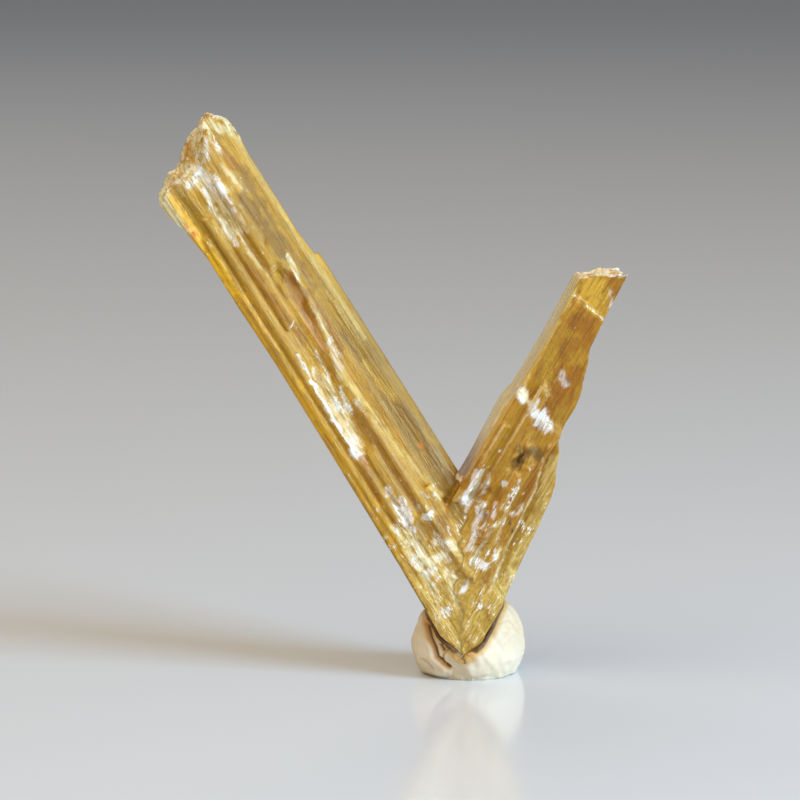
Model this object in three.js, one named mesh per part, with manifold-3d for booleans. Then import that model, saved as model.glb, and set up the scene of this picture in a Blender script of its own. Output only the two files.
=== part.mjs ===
// A V-shaped twin of cerussite, standing on its point in a ball of display putty.
// Millimetres, +Z up, X to the right, Y to the back. The origin is the middle of the putty's flat underside.
import * as THREE from "three";
import { mergeVertices } from "three/addons/utils/BufferGeometryUtils.js";
import Module from "manifold-3d";

const wasm = await Module();
wasm.setup();

// The two crystals share a vertex, where their outer edges meet, and lean apart by the twin's 62.5 degrees.
const VERTEX = { x: -0.7, z: 1.47 };
const LONG_LEAN = 32.2;
const SHORT_LEAN = 30.6;
const FRONT = -4.8; // Y of the front faces
const START = -4; // each prism starts this far before the vertex and is cut to the twin's point

// Each arm has its own coordinates: t along it from the vertex, u across it from its outer edge, and Y.
const LONG = { from: -0.4, to: 5.65, depth: 3.2, shrink: 0.5, reach: 52 };
const STRIP = { from: 4.6, to: 7.6, front: FRONT + 1, depth: 1.7, shrink: 0.8, reach: 52 };
const SLIVER = { from: 7.2, to: 7.85, front: FRONT + 1.4, depth: 1.2, reach: 37.4 };
const SHORT = { from: 0.2, to: 7.8, depth: 9.7, shrink: 0.95, reach: 38 };
const SIDE_PLATE = { from: -0.6, to: 3.2, front: FRONT + 1.1, depth: 6.6, reach: 20 };

// The point of the twin. From the front its edges run down the left, round the tip and up the right.
const POINT = {
  edges: [
    [-7.05, 11.66],
    [-5.52, 9.07],
    [-4.46, 7.26],
    [-2.45, 3.75],
    [-0.5, 1.93],
    [0.83, 3.15],
    [2.35, 5.84],
    [3.1, 7.47],
    [4.18, 9.86],
    [5.32, 12.2],
    [5.81, 13.42],
  ],
  backY: -1.2,
  backZ: 2.2,
  backTilt: 48, // degrees that the chisel-shaped back of the point leans from upright
};

const PUTTY = { halfWidth: 4.45, halfDepth: 4.95, foot: 0.8, widest: 0.28, height: 6.7 };
const PUTTY_GAP = 0.3;

const FAR = 60; // size of a cutting solid, beyond all that it cuts

// Repeatable random numbers, so that the crystal is the same every time.
function randomFrom(seed) {
  let state = seed;
  return (low, high) => {
    state = (Math.imul(state, 1664525) + 1013904223) >>> 0;
    return low + ((high - low) * state) / 4294967296;
  };
}

function armFrame(leanDegrees, side) {
  const lean = THREE.MathUtils.degToRad(leanDegrees);
  const along = new THREE.Vector3(side * Math.sin(lean), 0, Math.cos(lean));
  const inward = new THREE.Vector3(-side * Math.cos(lean), 0, Math.sin(lean));
  return (t, u, y) =>
    new THREE.Vector3(VERTEX.x, y, VERTEX.z).addScaledVector(along, t).addScaledVector(inward, u);
}
const longArm = armFrame(LONG_LEAN, -1);
const shortArm = armFrame(SHORT_LEAN, 1);

function solidOf(geometry) {
  geometry.deleteAttribute("normal");
  geometry.deleteAttribute("uv");
  const merged = mergeVertices(geometry, 1e-4);
  const build = (triVerts) =>
    new wasm.Manifold(
      new wasm.Mesh({
        numProp: 3,
        vertProperties: merged.attributes.position.array,
        triVerts: new Uint32Array(triVerts),
      }),
    );
  const made = build(merged.index.array);
  return made.volume() > 0 ? made : build([...merged.index.array].reverse());
}

function solidFrom(points, faces) {
  const geometry = new THREE.BufferGeometry().setFromPoints(points);
  geometry.setIndex(faces);
  return solidOf(geometry);
}

const joined = (solids) => solids.reduce((all, solid) => all.add(solid));

// A closed solid between two like rings of points. The plane outline shows how to fill the rings.
function between(ringA, ringB, outline) {
  const n = ringA.length;
  const plane = outline.map(([a, b]) => new THREE.Vector2(a, b));
  const turned = THREE.ShapeUtils.isClockWise(plane);
  const faces = THREE.ShapeUtils.triangulateShape(plane, []).flatMap(([a, b, c]) =>
    turned ? [a, b, c, n + a, n + c, n + b] : [a, c, b, n + a, n + b, n + c],
  );
  for (let i = 0; i < n; i++) {
    const j = (i + 1) % n;
    faces.push(i, j, n + j, i, n + j, n + i);
  }
  return solidFrom([...ringA, ...ringB], faces);
}

// A prism along an arm. Its outline is a list of [u, Y], its depth shrinks towards the far end, and
// slant tilts both ends across the arm.
function prism(arm, outline, t0, t1, { shrink = 1, front = FRONT, slant = 0 } = {}) {
  const ring = (t, scale) => outline.map(([u, y]) => arm(t + slant * u, u, front + (y - front) * scale));
  return between(ring(t0, 1), ring(t1, shrink), outline);
}

// A slab from front to back whose outline is a list of [t, u]; drift moves it across the arm on the way.
function slab(arm, outline, drift = 0, y0 = -FAR / 4, y1 = FAR / 4) {
  const ring = (y) => outline.map(([t, u]) => arm(t, u + drift * (y - FRONT), y));
  return between(ring(y0), ring(y1), outline);
}

// A bar across an arm whose outline is a list of [t, Y]; skew tilts it along the arm.
function crossBar(arm, outline, u0, u1, skew = 0) {
  const ring = (u) => outline.map(([t, y]) => arm(t + skew * u, u, y));
  return between(ring(u0), ring(u1), outline);
}

// Grooves along one side of a prism's outline, as on a striated crystal face.
function striated([u0, y0], [u1, y1], steps, relief, random) {
  const length = Math.hypot(u1 - u0, y1 - y0);
  const inward = [-(y1 - y0) / length, (u1 - u0) / length];
  const edges = Array.from({ length: steps + 1 }, (_, i) =>
    i === 0 || i === steps ? i / steps : (i + random(-0.35, 0.35)) / steps,
  );
  return edges.slice(1).flatMap((end, i) => {
    const cut = random(0, relief);
    return [edges[i] + 0.015, end - 0.015].map((s) => [
      u0 + (u1 - u0) * s + inward[0] * cut,
      y0 + (y1 - y0) * s + inward[1] * cut,
    ]);
  });
}

// The solid between a rough grid of points and the same grid carried to the far side of what it cuts.
function blanket(near, far) {
  const rows = near.length;
  const columns = near[0].length;
  const at = (i, j, side) => side * rows * columns + i * columns + j;
  const faces = [];
  const quad = (a, b, c, d) => faces.push(a, b, c, a, c, d);
  for (let i = 0; i < rows - 1; i++) {
    for (let j = 0; j < columns - 1; j++) {
      quad(at(i, j, 0), at(i, j + 1, 0), at(i + 1, j + 1, 0), at(i + 1, j, 0));
      quad(at(i, j, 1), at(i + 1, j, 1), at(i + 1, j + 1, 1), at(i, j + 1, 1));
    }
    const end = columns - 1;
    quad(at(i, 0, 0), at(i + 1, 0, 0), at(i + 1, 0, 1), at(i, 0, 1));
    quad(at(i + 1, end, 0), at(i, end, 0), at(i, end, 1), at(i + 1, end, 1));
  }
  for (let j = 0; j < columns - 1; j++) {
    const end = rows - 1;
    quad(at(0, j + 1, 0), at(0, j, 0), at(0, j, 1), at(0, j + 1, 1));
    quad(at(end, j, 0), at(end, j + 1, 0), at(end, j + 1, 1), at(end, j, 1));
  }
  return solidFrom([...near.flat(), ...far.flat()], faces);
}

// An uneven grid over a rectangle: its inner points are jogged, and visit makes the point for each.
function grid([a0, a1], [b0, b1], [na, nb], random, visit) {
  const jog = (i, n) => (i > 0 && i < n ? random(-0.3, 0.3) : 0);
  return Array.from({ length: na + 1 }, (_, i) =>
    Array.from({ length: nb + 1 }, (_, j) => {
      const a = a0 + ((a1 - a0) * (i + jog(i, na))) / na;
      const b = b0 + ((b1 - b0) * (j + jog(j, nb))) / nb;
      return visit(a, b, i > 0 && i < na && j > 0 && j < nb);
    }),
  );
}

// The height at x of a line through points of rising x.
function onLine(points, x) {
  const next = points.findIndex(([at]) => at > x);
  const [[x0, y0], [x1, y1]] = points.slice(next - 1, next + 1);
  return y0 + ((y1 - y0) * (x - x0)) / (x1 - x0);
}

// Breaks off everything past t = level(u, y), with a hackly surface.
function breakEnd(body, arm, { across, depth, cells, rough, seed, level }) {
  const random = randomFrom(seed);
  const near = grid(across, depth, cells, random, (u, y) => [level(u, y) + random(-rough, rough), u, y]);
  const carried = (t0) => near.map((row) => row.map(([t, u, y]) => arm(t0 ?? t, u, y)));
  return body.subtract(blanket(carried(), carried(FAR)));
}

// Breaks a shallow rough patch out of a front face.
function breakPatch(body, arm, along, across, cells, deep, seed) {
  const random = randomFrom(seed);
  const near = grid(along, across, cells, random, (t, u, inside) => [
    t,
    u,
    inside ? FRONT + deep * random(0.15, 1) : FRONT - 0.3,
  ]);
  const carried = (y0) => near.map((row) => row.map(([t, u, y]) => arm(t, u, y0 ?? y)));
  return body.subtract(blanket(carried(FRONT - 4), carried()));
}

// The edges of the point, moved out by grow with their corners kept sharp.
function grownEdges(grow) {
  const outward = POINT.edges.slice(1).map(([x, z], i) => {
    const [x0, z0] = POINT.edges[i];
    return new THREE.Vector2(z - z0, x0 - x).normalize();
  });
  return POINT.edges.map(([x, z], i) => {
    const before = outward[Math.max(i - 1, 0)];
    const after = outward[Math.min(i, outward.length - 1)];
    const corner = before.clone().add(after).multiplyScalar(grow / (1 + before.dot(after)));
    return [x + corner.x, z + corner.y];
  });
}

// What is cut away beside, below and behind the twin's point, at least grow outside its faces.
function pointCuts(grow = 0) {
  const edges = grownEdges(grow);
  const outline = [
    ...edges,
    [FAR, edges.at(-1)[1]],
    [FAR, -FAR],
    [-FAR, -FAR],
    [-FAR, edges[0][1]],
  ];
  const ring = (y) => outline.map(([x, z]) => new THREE.Vector3(x, y, z));
  const behind = new THREE.BoxGeometry(2 * FAR, FAR, 2 * FAR).translate(0, FAR / 2 + grow, 0);
  behind.rotateX(THREE.MathUtils.degToRad(-POINT.backTilt));
  return between(ring(-FAR / 2), ring(FAR / 2), outline).add(
    solidOf(behind.translate(0, POINT.backY, POINT.backZ)),
  );
}

// Thin blades along a front face, as [t0, t1, u0, u1, how proud, slant of the ends].
function blades(arm, list) {
  const root = 0.4;
  return joined(
    list.map(([t0, t1, u0, u1, proud, slant]) => {
      const outline = [
        [u0 + 0.12, FRONT - proud],
        [u1 - 0.12, FRONT - proud],
        [u1, FRONT + root],
        [u0, FRONT + root],
      ];
      return prism(arm, outline, t0, t1, { slant });
    }),
  );
}

// Small etched lumps on a front face, drawn out along the arm that they are on.
function etching(arm, count, along, across, seed) {
  const random = randomFrom(seed);
  const origin = arm(0, 0, 0);
  const [acrossArm, back, alongArm] = [arm(0, 1, 0), arm(0, 0, 1), arm(1, 0, 0)].map((p) => p.sub(origin));
  return joined(
    Array.from({ length: count }, () => {
      const middle = arm(random(...along), random(...across), FRONT);
      const lump = new THREE.OctahedronGeometry(1);
      lump.scale(random(0.16, 0.34), random(0.2, 0.42), random(0.4, 1.1));
      lump.applyMatrix4(new THREE.Matrix4().makeBasis(acrossArm, back, alongArm));
      return solidOf(lump.translate(middle.x, middle.y, middle.z));
    }),
  );
}

function longPrism() {
  const random = randomFrom(11);
  const { from, to, depth } = LONG;
  const back = FRONT + depth;
  const outline = [
    [from, FRONT + 0.6],
    [from + 0.3, FRONT + 0.1],
    ...striated([from + 0.4, FRONT], [to - 0.5, FRONT], 7, 0.28, random),
    [to - 0.35, FRONT + 0.1],
    [to, FRONT + 0.7],
    [to, back - 0.6],
    [to - 0.6, back - 0.1],
    ...striated([to - 0.7, back], [from + 1.2, back], 6, 0.25, random),
    [from + 0.9, back - 0.15],
    [from, back - 0.9],
  ];
  return prism(longArm, outline, START, LONG.reach, { shrink: LONG.shrink });
}

function stripPrism() {
  const random = randomFrom(23);
  const { from, to, front, depth } = STRIP;
  const back = front + depth;
  const outline = [
    ...striated([from, front], [to - 0.5, front], 3, 0.16, random),
    [to, front + 0.5],
    [to, back - 0.5],
    ...striated([to - 0.4, back], [from, back], 3, 0.16, random),
  ];
  return prism(longArm, outline, START, STRIP.reach, { shrink: STRIP.shrink, front });
}

function sliverPrism() {
  const { from, to, front, depth } = SLIVER;
  const outline = [
    [from, front],
    [to - 0.2, front + 0.05],
    [to, front + 0.4],
    [to - 0.1, front + depth],
    [from, front + depth],
  ];
  return prism(longArm, outline, 0, SLIVER.reach, { slant: -0.5 });
}

function shortPrism() {
  const random = randomFrom(37);
  const { from, to, depth } = SHORT;
  const back = FRONT + depth;
  const outline = [
    [from, FRONT + 0.7],
    [from + 0.25, FRONT + 0.1],
    ...striated([from + 0.3, FRONT], [to - 0.7, FRONT], 6, 0.24, random),
    [to - 0.6, FRONT + 0.1],
    [to, FRONT + 0.8],
    ...striated([to, FRONT + 1], [to, back - 1.7], 6, 0.2, random),
    [to, back - 1.5],
    [to - 1.2, back - 0.15],
    ...striated([to - 1.3, back], [from + 0.9, back], 5, 0.3, random),
    [from + 0.8, back - 0.1],
    [from, back - 1],
  ];
  return prism(shortArm, outline, START, SHORT.reach, { shrink: SHORT.shrink });
}

function sidePlate() {
  const random = randomFrom(41);
  const { from, to, front, depth, reach } = SIDE_PLATE;
  const back = front + depth;
  const outline = [
    [from, front + 0.8],
    ...striated([from + 0.5, front], [to, front], 3, 0.2, random),
    [to, back],
    ...striated([from + 0.9, back], [from, back - 1.2], 2, 0.15, random),
  ];
  const roundedEnd = [
    [13.5, 0.4],
    [14.8, 0.54],
    [16, 0.88],
    [17.1, 1.43],
    [18.2, 1.84],
    [19.2, 2.5],
    [19.4, 5],
    [FAR, 5],
    [FAR, -9],
    [13.5, -9],
  ];
  return prism(shortArm, outline, START, reach).subtract(slab(shortArm, roundedEnd, 0.03));
}

// The long crystal: a striated prism in front, a clear strip set back beside it with a groove between
// them, a thin sliver along the strip's lower half, and a broken far end with a lip on its outer edge.
function longCrystal() {
  const outerEdge = [
    [-9, -0.4],
    [7, -0.12],
    [9, -0.02],
    [14, 0.1],
    [20, 0.22],
    [28, 0.34],
    [34, 0.26],
    [37.8, 0.28],
    [39.3, 0.12],
    [41, -0.05],
    [FAR, 0],
    [FAR, -9],
    [-9, -9],
  ];
  const innerEdge = [
    [33.6, 7.54],
    [35.8, 7.38],
    [43, 7.38],
    [44.5, 7.5],
    [FAR, 7.5],
    [FAR, 12],
    [33.6, 12],
  ];
  const brokenFront = [
    [-2, 43.6],
    [0.8, 44.1],
    [2.06, 43.3],
    [3.1, 43.4],
    [4.1, 44.3],
    [4.95, 45.6],
    [5.7, 46.5],
    [6.6, 46.3],
    [7.1, 45.5],
    [10, 44],
  ];
  const brokenCrest = [
    [-2, 43.5],
    [0.4, 44.4],
    [1.2, 45.2],
    [2.15, 45.6],
    [4.1, 46.8],
    [5.2, 47.2],
    [6, 47.7],
    [6.6, 47.7],
    [7.1, 46.8],
    [7.5, 45.4],
    [10, 44],
  ];
  const crestDepth = 1.7; // the break rises from the front face to a crest this far behind it
  const brokenEnd = (u, y) => {
    const behind = y - FRONT;
    const rise = THREE.MathUtils.clamp(behind / crestDepth, 0, 1);
    const fall = 0.4 * Math.max(behind - crestDepth, 0);
    return THREE.MathUtils.lerp(onLine(brokenFront, u), onLine(brokenCrest, u), rise) - fall;
  };
  const groove = [
    [13.5, 4.95],
    [19, 4.7],
    [26, 4.6],
    [29.5, 5.15],
    [30.5, 5.9],
    [20, 6.1],
    [13.5, 6],
  ];
  const lip = [
    [39.4, 0.6],
    [39.6, 0.1],
    [40.9, -0.25],
    [42.3, -0.6],
    [43.5, -0.66],
    [44.1, -0.4],
    [44.4, 0.3],
    [43.9, 1],
    [42, 1.5],
  ];
  let body = longPrism().subtract(slab(longArm, outerEdge));
  body = body.add(stripPrism()).subtract(slab(longArm, innerEdge, -0.05));
  body = body.add(
    blades(longArm, [
      [7.5, 39, 0.7, 1.3, 0.14, 0.4],
      [13, 41.7, 1.5, 2.3, 0.26, -0.6],
      [28.5, 43.6, 2.5, 3.6, 0.2, 0.5],
      [33, 46, 3.9, 4.7, 0.3, -0.8],
      [9, 17.6, 2.4, 3.4, 0.22, 0.9],
      [8.5, 24, 3.9, 4.5, 0.18, -0.7],
      [26.5, 31, 4.3, 5.2, 0.25, 1.1],
    ]),
  );
  body = body.subtract(slab(longArm, groove, -0.15, -FAR / 4, STRIP.front - 0.05));
  body = breakPatch(body, longArm, [18, 27.8], [1.7, 4.2], [8, 4], 0.5, 5);
  body = breakPatch(body, longArm, [26, 35], [3.6, 5.75], [8, 3], 0.6, 9);
  body = breakPatch(body, longArm, [37, 44.8], [2.2, 4.1], [6, 3], 0.4, 13);
  body = breakEnd(body, longArm, {
    across: [-1.5, 9.5],
    depth: [FRONT - 1, 1],
    cells: [13, 8],
    rough: 0.26,
    seed: 3,
    level: brokenEnd,
  });
  return body.add(slab(longArm, lip, 0.12, FRONT + 0.35, FRONT + 1.9)).add(sliverPrism());
}

// The short crystal: a deep prism whose outer edge is broken away in steps, with a side plate set back
// behind its lower half, ledges across its front, and a slanting broken end.
function shortCrystal() {
  const brokenEdge = [
    [-9, 0],
    [6.2, 1.15],
    [10, 1.76],
    [14.9, 2.25],
    [18, 2.8],
    [19.4, 2.55],
    [20.6, 2.73],
    [22, 2.67],
    [23.3, 2.87],
    [24.4, 3.28],
    [25.6, 3.62],
    [26.7, 4.09],
    [29.3, 4.3],
    [33.3, 4.5],
    [FAR, 4.5],
    [FAR, -9],
    [-9, -9],
  ];
  const innerEdge = [
    [-9, 7.4],
    [13.7, 7.4],
    [17.8, 7.66],
    [19.2, 7.72],
    [20.6, 7.38],
    [25, 7.4],
    [30.4, 7.67],
    [FAR, 7.67],
    [FAR, 14],
    [-9, 14],
  ];
  const brokenEnd = [
    [0, 33.4],
    [4.3, 33.5],
    [5, 33],
    [6.3, 32.3],
    [7.3, 31.3],
    [8.2, 30.8],
    [11, 29.5],
  ];
  const ledge = (t0, t1, cut, skew) => {
    const outline = [
      [t0, FRONT - 3],
      [t0, FRONT - 0.3],
      [t1, FRONT + cut],
      [FAR, FRONT + cut + 0.2],
      [FAR, FRONT - 3],
    ];
    return crossBar(shortArm, outline, -3, 12, skew);
  };
  let body = shortPrism().subtract(slab(shortArm, brokenEdge, 0.07)).subtract(slab(shortArm, innerEdge));
  body = body.subtract(ledge(18.4, 19.35, 0.55, 0.25)).subtract(ledge(27.9, 28.5, 0.85, 0.17));
  body = body.add(
    blades(shortArm, [
      [8.5, 15.5, 6.4, 7, 0.3, 0.4],
      [9.5, 18.3, 4.9, 5.9, 0.24, 0.7],
      [12, 19, 3.1, 4.1, 0.3, -0.8],
      [7.5, 12.5, 3.4, 4.4, 0.28, 0.8],
    ]),
  );
  body = breakPatch(body, shortArm, [15.2, 18.6], [3.6, 5.6], [3, 3], 0.7, 15);
  body = breakEnd(body, shortArm, {
    across: [1, 10],
    depth: [FRONT - 1, 6],
    cells: [9, 9],
    rough: 0.2,
    seed: 7,
    level: (u, y) => onLine(brokenEnd, u) - 0.08 * (y - FRONT),
  });
  return body.add(sidePlate());
}

// The two crystals grown together, cut to the common point and etched where they meet.
function twinSolid() {
  const crystals = longCrystal().add(shortCrystal()).subtract(pointCuts());
  return crystals
    .add(etching(shortArm, 26, [9, 19], [2.8, 7], 51))
    .subtract(etching(longArm, 16, [9.5, 16.5], [1, 3.7], 58));
}

// A lumpy ball with a flat underside, pressed in around the twin's point.
function puttySolid() {
  const { halfWidth, halfDepth, foot, widest, height } = PUTTY;
  const [sides, rings] = [36, 14];
  const profile = Array.from({ length: rings + 1 }, (_, i) => {
    const rise = i / rings;
    const low = rise < widest;
    const swell = low
      ? foot + (1 - foot) * Math.sin((rise / widest) * (Math.PI / 2))
      : Math.sqrt(Math.max(0, 1 - ((rise - widest) / (1 - widest)) ** 2.2));
    return new THREE.Vector2(Math.max(swell, 0), rise * height);
  });
  profile[rings].x = 0;
  const ball = new THREE.LatheGeometry([new THREE.Vector2(0, 0), ...profile], sides).rotateX(Math.PI / 2);
  const place = ball.attributes.position;
  for (let i = 0; i < place.count; i++) {
    const [x, y, z] = [place.getX(i), place.getY(i), place.getZ(i)];
    const around = Math.atan2(y, x);
    const lump = 1 + 0.03 * Math.sin(2 * around + 0.6) + 0.025 * Math.sin(3 * around - 0.5 + 0.5 * z);
    const lean = 0.2 * Math.sin((Math.PI * z) / height);
    place.setXYZ(i, x * halfWidth * lump - lean, y * halfDepth * lump, z);
  }
  const wedge = new THREE.BoxGeometry(FAR, FAR / 2, FAR).translate(0, FRONT - PUTTY_GAP + FAR / 4, 0);
  const pocket = solidOf(wedge).subtract(pointCuts(PUTTY_GAP));
  return solidOf(ball).subtract(pocket);
}

function nodeMesh(name, solid, material) {
  const { vertProperties, triVerts } = solid.getMesh();
  const geometry = new THREE.BufferGeometry();
  geometry.setAttribute("position", new THREE.BufferAttribute(vertProperties, 3));
  geometry.setIndex(new THREE.BufferAttribute(triVerts, 1));
  geometry.computeVertexNormals();
  const mesh = new THREE.Mesh(geometry, material);
  mesh.name = name;
  return mesh;
}

const honeyCrystal = new THREE.MeshStandardMaterial({ color: "#a8893f", roughness: 0.25, metalness: 0 });
const creamPutty = new THREE.MeshStandardMaterial({ color: "#e6dac2", roughness: 0.75, metalness: 0 });

const cerussite = new THREE.Group();
cerussite.add(nodeMesh("cerussite_twin", twinSolid(), honeyCrystal));
cerussite.add(nodeMesh("putty_ball", puttySolid(), creamPutty));

export default cerussite;
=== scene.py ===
# Dresses the cerussite twin and its putty ball for the picture. Blender units are metres; the
# helpers below work in millimetres, in the same frame as the CAD model.
import math

import bpy
import numpy as np
from mathutils import Matrix, Vector
from mathutils.bvhtree import BVHTree


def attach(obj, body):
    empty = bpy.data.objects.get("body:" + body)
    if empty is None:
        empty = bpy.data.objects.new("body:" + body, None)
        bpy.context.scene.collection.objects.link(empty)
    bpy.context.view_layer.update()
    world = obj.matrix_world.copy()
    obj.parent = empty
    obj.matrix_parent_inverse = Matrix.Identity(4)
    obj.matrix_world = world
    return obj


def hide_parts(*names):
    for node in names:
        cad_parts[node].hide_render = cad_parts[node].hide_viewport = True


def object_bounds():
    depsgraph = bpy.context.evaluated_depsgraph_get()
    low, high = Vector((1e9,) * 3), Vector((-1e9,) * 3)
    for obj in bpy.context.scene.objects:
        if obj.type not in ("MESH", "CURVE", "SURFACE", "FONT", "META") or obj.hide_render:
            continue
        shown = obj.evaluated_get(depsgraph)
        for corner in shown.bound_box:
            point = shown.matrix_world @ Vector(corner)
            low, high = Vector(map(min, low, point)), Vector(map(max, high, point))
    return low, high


MM = 0.001

# The camera looks from the front, a little from above, with a long lens.
ELEVATION = math.radians(8)
FIELD_OF_VIEW = math.radians(9)
FRAME_PX = 800
MM_PER_PX = 0.08
ORIGIN_PX = (470, 671)  # where the part's origin shows in the frame

# The crystals' own coordinates: t along an arm from the vertex, u across it from its outer edge.
VERTEX = (-0.7, 1.47)
LONG = {"lean": math.radians(32.2), "side": -1}
SHORT = {"lean": math.radians(30.6), "side": 1}
FRONT = -4.8  # Y of the front faces

MAX_PROUD = 0.2  # how far the crystal's relief may pass the CAD model's box
SHORT_GRAIN = 37  # moves the short crystal's grain on, so that the arms don't mirror each other

CRYSTAL_VOXEL = 0.15
PUTTY_VOXEL = 0.09

# The boundary of the two crystals begins to wander over the first pair of heights and has stopped
# wandering over the second.
WANDER_STARTS = (3, 6)
WANDER_STOPS = (17.5, 14)

# How deep the crystal's relief is: striation on its faces, hackle on its torn ends, chips in frost.
STRIATION_DEPTH = 0.075
HACKLE_DEPTH = 0.36
CHIP_DEPTH = 0.26

STRIP_EDGE = 5.7  # u where the set-back strip of the long crystal begins
MARKS_REACH = 3.4  # how far behind the front faces markings go, which takes in the strip
MARKS_FADE = 0.8  # over what distance they fade out there

# Where along an arm its end starts to count as torn, and where the long crystal's front does.
ENDS_TORN = (20, 25)
TOP_TORN = (43.8, 45.0)

# How clear the crystal is, from 0 to 1.
FRONT_CLEAR = 0.28
STRIP_CLEAR = 0.3
BACK_CLEARER = 0.42  # added to the clearness of the front
# Of the short crystal's side face, which is painted bright as a painted highlight.
SIDE_CLEAR = 0.1
BROKEN_CLEAR = 0.15
MARK_CLEARNESS = 0.6  # of a marking that the lists below call fully clear

# How frosted it is.
TIP_FROST = 0.12
BROKEN_FROST = 0.5

# The putty: how near the crystal it is pressed against it, and how far its forms stand out or sink.
PRESS_REACH = 0.6
LUMPS = 0.34
SMALL_LUMPS = 0.13
FLAP_HEIGHT = 0.2
SUNK_DEPTH = 0.25

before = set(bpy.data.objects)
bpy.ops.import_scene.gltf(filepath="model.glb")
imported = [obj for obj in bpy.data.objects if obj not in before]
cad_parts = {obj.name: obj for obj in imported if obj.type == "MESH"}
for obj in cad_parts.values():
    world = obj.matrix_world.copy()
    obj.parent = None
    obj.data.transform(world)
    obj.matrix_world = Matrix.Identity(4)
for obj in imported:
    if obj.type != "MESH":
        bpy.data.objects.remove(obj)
cad_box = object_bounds()


# Numbers and noise


def smooth(low, high, value):
    """0 at low and 1 at high, with a smooth rise between; low may be the larger of the two."""
    part = np.clip((value - low) / (high - low), 0, 1)
    return part * part * (3 - 2 * part)


def lattice(cells, seed):
    """A repeatable random number from 0 to 1 for each whole-numbered cell."""
    mixed = cells[:, 0] * 73856093 ^ cells[:, 1] * 19349663 ^ cells[:, 2] * 83492791 ^ seed * 2654435761
    mixed = (mixed ^ (mixed >> 13)) * 1274126177
    mixed = (mixed ^ (mixed >> 16)) & 0xFFFFFF
    return mixed / float(0xFFFFFF)


def noise(points, seed):
    """Smooth value noise from 0 to 1, with cells of one unit."""
    base = np.floor(points).astype(np.int64)
    part = points - base
    part = part * part * (3 - 2 * part)
    total = np.zeros(len(points))
    for i in (0, 1):
        for j in (0, 1):
            for k in (0, 1):
                weight = (
                    (part[:, 0] if i else 1 - part[:, 0])
                    * (part[:, 1] if j else 1 - part[:, 1])
                    * (part[:, 2] if k else 1 - part[:, 2])
                )
                total += weight * lattice(base + np.array([i, j, k]), seed)
    return total


def columns(*values):
    """Numbers and arrays side by side, one row for each point."""
    length = max(np.size(v) for v in values)
    return np.stack([np.broadcast_to(v, length) for v in values], 1).astype(float)


def srgb(red, green, blue):
    """A colour given as in a picture, 0 to 255, as Blender's linear values."""
    parts = np.array([red, green, blue]) / 255
    return np.where(parts <= 0.04045, parts / 12.92, ((parts + 0.055) / 1.055) ** 2.4)


# Meshes


def copy_of_node(name):
    """A new object with a copy of a CAD node's mesh."""
    piece = bpy.data.objects.new(name + "_look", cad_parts[name].data.copy())
    bpy.context.scene.collection.objects.link(piece)
    piece.data.materials.clear()
    return piece


def remesh(piece, voxel_mm):
    """Gives the piece an even mesh, fine enough for its relief."""
    modifier = piece.modifiers.new("voxels", "REMESH")
    modifier.mode = "VOXEL"
    modifier.voxel_size = voxel_mm * MM
    modifier.use_smooth_shade = True
    graph = bpy.context.evaluated_depsgraph_get()
    mesh = bpy.data.meshes.new_from_object(piece.evaluated_get(graph))
    piece.modifiers.clear()
    piece.data = mesh


def read_points(mesh):
    """The mesh's points in millimetres."""
    flat = np.empty(len(mesh.vertices) * 3)
    mesh.vertices.foreach_get("co", flat)
    return flat.reshape(-1, 3) / MM


def read_normals(mesh):
    flat = np.empty(len(mesh.vertices) * 3)
    mesh.vertices.foreach_get("normal", flat)
    return flat.reshape(-1, 3)


def write_points(mesh, points):
    mesh.vertices.foreach_set("co", (points * MM).ravel())
    mesh.update()


def add_attribute(mesh, name, kind, values):
    """Values of the points, kept on the faces' corners: beside a volume, Cycles reads no others."""
    corners = np.empty(len(mesh.loops), np.int32)
    mesh.loops.foreach_get("vertex_index", corners)
    field = {"FLOAT": "value", "FLOAT_VECTOR": "vector", "FLOAT_COLOR": "color"}[kind]
    layer = mesh.attributes.new(name, kind, "CORNER")
    layer.data.foreach_set(field, np.asarray(values, np.float32)[corners].ravel())


# The crystal


def arm_axes(arm):
    """The directions along an arm and inward from its outer edge."""
    along = np.array([arm["side"] * math.sin(arm["lean"]), 0, math.cos(arm["lean"])])
    inward = np.array([-arm["side"] * math.cos(arm["lean"]), 0, math.sin(arm["lean"])])
    return along, inward


def arm_coordinates(points, arm):
    """The points' t, u and Y."""
    along, inward = arm_axes(arm)
    offset = points - np.array([VERTEX[0], 0, VERTEX[1]])
    return offset @ along, offset @ inward, points[:, 1]


def in_arm_frames(points, normals):
    """Each point's t, u, Y in the arm that it belongs to, and its normal along the same axes."""
    x, z = points[:, 0], points[:, 2]
    middle = (LONG["lean"] - SHORT["lean"]) / 2
    beside = (x - VERTEX[0]) * math.cos(middle) + (z - VERTEX[1]) * math.sin(middle)
    wander = 3.6 * (noise(points * 0.6, 15) - 0.5) + 1.6 * (noise(points * 1.9, 16) - 0.5)
    fused = smooth(*WANDER_STARTS, z) * smooth(*WANDER_STOPS, z)
    is_long = beside + wander * fused < 0
    result = []
    for arm in (LONG, SHORT):
        along, inward = arm_axes(arm)
        t, u, y = arm_coordinates(points, arm)
        result.append(columns(t, u, y, normals @ along, normals @ inward, normals[:, 1]))
    chosen = np.where(is_long[:, None], result[0], result[1])
    return is_long, chosen


def ledges(across, t, seed):
    """Striation: ledges that run along the arm, with ends here and there."""
    broad = noise(columns(across * 1.1, t * 0.05, 0.5), seed)
    fine = noise(columns(across * 3.8, t * 0.09, 1.5), seed + 1)
    stepped = np.round(broad * 5) / 5
    return (stepped - 0.5) * 0.7 + (fine - 0.5) * 0.4


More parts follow.
